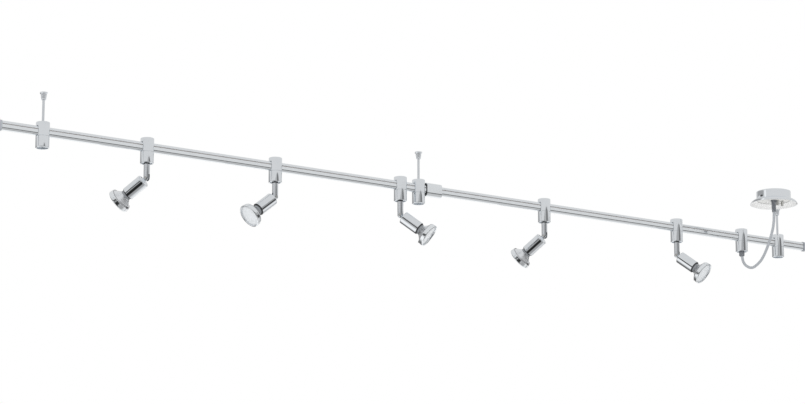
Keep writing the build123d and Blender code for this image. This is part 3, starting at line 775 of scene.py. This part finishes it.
# Panels of one level, each as (its cover by height, its cover by bearing, its level): a dark screen low
# behind the camera, the white floor beyond the light, and a low white wall straight ahead.
STUDIO_PANELS = [
    (
        [(-1.0, 0), (-0.94, 0), (-0.82, 1), (-0.32, 1), (-0.20, 0), (1.0, 0)],
        [(-180, 0), (-160, 0), (-148, 1), (-120, 1), (-110, 0), (180, 0)],
        0.02,
    ),
    (
        [(-1.0, 1), (-0.62, 1), (-0.54, 0), (1.0, 0)],
        [(-180, 0), (-86, 0), (-74, 1), (56, 1), (70, 0.6), (104, 0.5), (120, 0), (180, 0)],
        1.0,
    ),
    (
        [(-1.0, 1), (-0.05, 1), (0.01, 0), (1.0, 0)],
        [(-180, 0), (20, 0), (27, 1), (56, 1), (66, 0), (180, 0)],
        1.0,
    ),
]
# Overhead boards, the floor and the lamp, in metres unless they say otherwise.
BOARD_BACK = 0.30  # reach of the white ceiling board behind the rail
BOARD_FRONT = (0.46, 0.30)  # its reach in front, at the left end and at the right end
BOARD_PAST = 0.4  # its reach past each end of the rails
BOARD_GAP = 2.0 * MM  # above the light
BOARD_LEVEL = 0.72
# Cards beside the canopy: name, level, drop below the board in millimetres, and corners from the canopy's
# middle in millimetres.
CANOPY_CARDS = [
    ("grey_card", 0.38, 0.4, [(-53, -4), (-105, 14), (-37, 29), (-40, 84)]),
    ("dark_card", 0.02, 0.8, [(-87, 17), (-102, 25), (-74, 42), (-86, 54)]),
    ("white_card", 0.98, 0.4, [(-51, -15), (-124, -14), (-52, -8), (-123, 8)]),
]
FLOOR_SIZE = 300
FLOOR_HEIGHT = -16.5
SOFTBOX_PLACE = (-2.5, -3.5, 0.6)
SOFTBOX_TARGET = (0, 0, -0.1)
SOFTBOX_SIZE = 2.0
SOFTBOX_POWER = 60  # watts


def floor():
    """Pale studio floor, far below, so that the light can be seen from underneath too."""
    deselect_all()
    bpy.ops.mesh.primitive_plane_add(size=FLOOR_SIZE, location=(0, 0, FLOOR_HEIGHT))
    ground = bpy.context.object
    ground.name = "studio_floor"
    material, tree, shader = new_material("studio_floor", Roughness=0.9)
    shader.inputs["Base Color"].default_value = (0.93, 0.93, 0.93, 1)
    paint(ground, material)
    ground.visible_glossy = False
    ground.visible_transmission = False
    ground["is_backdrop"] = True


def mirrored_board(name, corners, height, level):
    """A flat board overhead, by its four corners. Only bright metal sees it, so it lights nothing."""
    deselect_all()
    bpy.ops.mesh.primitive_plane_add(size=1, location=(0, 0, height))
    board = bpy.context.object
    board.name = name
    for corner, (x, y) in zip(board.data.vertices, corners):
        corner.co.x, corner.co.y = x, y
    material, tree, shader = new_material(name, Emission_Strength=level, Roughness=1.0)
    shader.inputs["Base Color"].default_value = (0, 0, 0, 1)
    shader.inputs["Specular IOR Level"].default_value = 0.0
    shader.inputs["Emission Color"].default_value = (1, 1, 1, 1)
    paint(board, material)
    board.visible_camera = False
    board.visible_diffuse = False
    board.visible_transmission = False
    board.visible_shadow = False
    board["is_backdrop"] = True


def ceiling_boards():
    """The white board that the light hangs under, and three small cards on it beside the canopy."""
    low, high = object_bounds()
    left, right = low[0] - BOARD_PAST, high[0] + BOARD_PAST
    height = high[2] + BOARD_GAP
    corners = [(left, -BOARD_FRONT[0]), (right, -BOARD_FRONT[1]), (left, BOARD_BACK), (right, BOARD_BACK)]
    mirrored_board("ceiling_board", corners, height, BOARD_LEVEL)
    middle = mounts["canopy_screws"]["pos_m"]
    for name, level, drop, outline in CANOPY_CARDS:
        corners = [(middle[0] + x * MM, middle[1] + y * MM) for x, y in outline]
        mirrored_board(name, corners, height - drop * MM, level)


def grey_ramp(tree, factor, stops):
    """A grey level that follows a factor through (position, level) stops."""
    node = add(tree, "ShaderNodeValToRGB")
    elements = node.color_ramp.elements
    while len(elements) < len(stops):
        elements.new(0.5)
    for element, (position, value) in zip(elements, sorted(stops)):
        element.position = position
        element.color = (value, value, value, 1)
    tree.links.new(factor, node.inputs["Fac"])
    return node.outputs["Color"]


def by_height(tree, rise, stops):
    """A grey level by the sine of a direction's height. The rise is that sine brought to 0 to 1."""
    return grey_ramp(tree, rise, [((z + 1) / 2, level) for z, level in stops])


def by_bearing(tree, turn, stops):
    """A grey level by a direction's bearing in degrees. The turn is that bearing brought to 0 to 1."""
    return grey_ramp(tree, turn, [((bearing + 180) / 360, level) for bearing, level in stops])


def laid_over(tree, under, cover, over):
    """One level laid over another where the cover is 1. The upper one is a socket or a plain number."""
    mix = add(tree, "ShaderNodeMix", data_type="FLOAT")
    tree.links.new(cover, mix.inputs["Factor"])
    tree.links.new(under, mix.inputs["A"])
    if isinstance(over, float):
        mix.inputs["B"].default_value = over
    else:
        tree.links.new(over, mix.inputs["B"])
    return mix.outputs["Result"]


def studio_world():
    """White surroundings, with the studio's own lights and darks where bright metal mirrors them."""
    world = bpy.data.worlds.new("studio")
    bpy.context.scene.world = world
    world.use_nodes = True
    tree = world.node_tree
    background = tree.nodes["Background"]
    background.inputs["Color"].default_value = (1, 1, 1, 1)
    place = add(tree, "ShaderNodeTexCoord")
    split = add(tree, "ShaderNodeSeparateXYZ")
    tree.links.new(place.outputs["Generated"], split.inputs[0])
    rise = math_node(tree, "MULTIPLY_ADD", split.outputs["Z"], 0.5, 0.5)
    bearing = math_node(tree, "ARCTAN2", split.outputs["X"], split.outputs["Y"])
    turn = math_node(tree, "MULTIPLY_ADD", bearing, 0.5 / math.pi, 0.5)
    mirrored = by_height(tree, rise, STUDIO_LEVELS)
    for reach, levels in STUDIO_BELTS:
        mirrored = laid_over(tree, mirrored, by_height(tree, rise, reach), by_bearing(tree, turn, levels))
    for reach, span, level in STUDIO_PANELS:
        cover = math_node(tree, "MULTIPLY", by_height(tree, rise, reach), by_bearing(tree, turn, span))
        mirrored = laid_over(tree, mirrored, cover, level)
    rays = add(tree, "ShaderNodeLightPath")
    plain = math_node(tree, "SUBTRACT", 1.0, rays.outputs["Is Glossy Ray"])
    level = math_node(tree, "MAXIMUM", mirrored, plain)
    tree.links.new(level, background.inputs["Strength"])


def softbox(name, place, target, size, power):
    """A square area lamp aimed at a point. Bright metal and the camera don't see it."""
    light = bpy.data.lights.new(name, "AREA")
    light.shape = "SQUARE"
    light.size = size
    light.energy = power
    lamp = bpy.data.objects.new(name, light)
    bpy.context.scene.collection.objects.link(lamp)
    lamp.location = place
    lamp.rotation_mode = "QUATERNION"
    lamp.rotation_quaternion = (Vector(target) - Vector(place)).to_track_quat("-Z", "Y")
    lamp.visible_camera = False
    lamp.visible_glossy = False


# ================================================================ camera
CAMERA_AIM = (-0.0397, 0.0, -0.1120)  # from the middle post's ceiling hole, in metres
CAMERA_DISTANCE = 6.2223
CAMERA_BEARING = 32.99  # degrees from +Y towards +X
CAMERA_RISE = 13.20  # degrees upwards
CAMERA_LENS = 134.28  # millimetres
CAMERA_SENSOR = 36  # millimetres wide
CAMERA_CLIP = 200


def camera():
    """In front of the light, below it and to its left, looking up and along the rails."""
    aim = Vector(mounts["ceiling_middle"]["pos_m"]) + Vector(CAMERA_AIM)
    bearing, rise = math.radians(CAMERA_BEARING), math.radians(CAMERA_RISE)
    look = Vector((
        math.sin(bearing) * math.cos(rise),
        math.cos(bearing) * math.cos(rise),
        math.sin(rise),
    ))
    data = bpy.data.cameras.new("camera")
    data.lens = CAMERA_LENS
    data.sensor_width = CAMERA_SENSOR
    data.clip_end = CAMERA_CLIP
    seat = bpy.data.objects.new("camera", data)
    bpy.context.scene.collection.objects.link(seat)
    seat.location = aim - look * CAMERA_DISTANCE
    seat.rotation_mode = "QUATERNION"
    seat.rotation_quaternion = look.to_track_quat("-Z", "Y")
    bpy.context.scene.camera = seat


floor()
ceiling_boards()
studio_world()
softbox("key_softbox", SOFTBOX_PLACE, SOFTBOX_TARGET, SOFTBOX_SIZE, SOFTBOX_POWER)
camera()
bpy.context.scene.view_settings.view_transform = "Standard"
